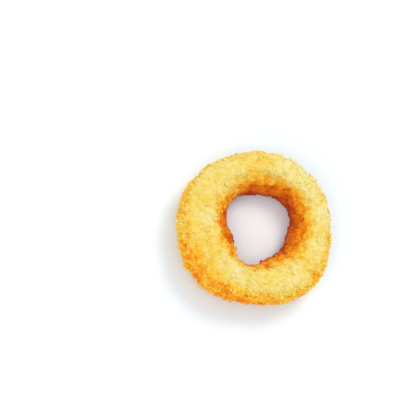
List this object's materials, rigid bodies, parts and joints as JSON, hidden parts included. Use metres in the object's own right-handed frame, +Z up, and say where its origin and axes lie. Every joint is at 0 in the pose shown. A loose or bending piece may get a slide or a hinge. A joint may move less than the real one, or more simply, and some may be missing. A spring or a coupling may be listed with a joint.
{
  "type": "crumbed onion ring",
  "caption": "Deep-fried onion ring in a coarse golden crumb coat, lying flat: an uneven closed band with a rounded wall that leans into its open middle.",
  "frame": {"origin": "on the surface that the ring lies on, under the middle of its bounding box", "axes": "+Z up out of the shown face, which is the ring's thickness; X and Y across the ring"},
  "size_m": [0.0796, 0.079, 0.022],
  "materials": {
    "fried_crumb": "dry, coarse fried crumb, pale golden on both faces and deeper orange round the outside and in the hole"
  },
  "bodies": {
    "root": {"onion_ring": "fried_crumb"}
  },
  "joints": []
}
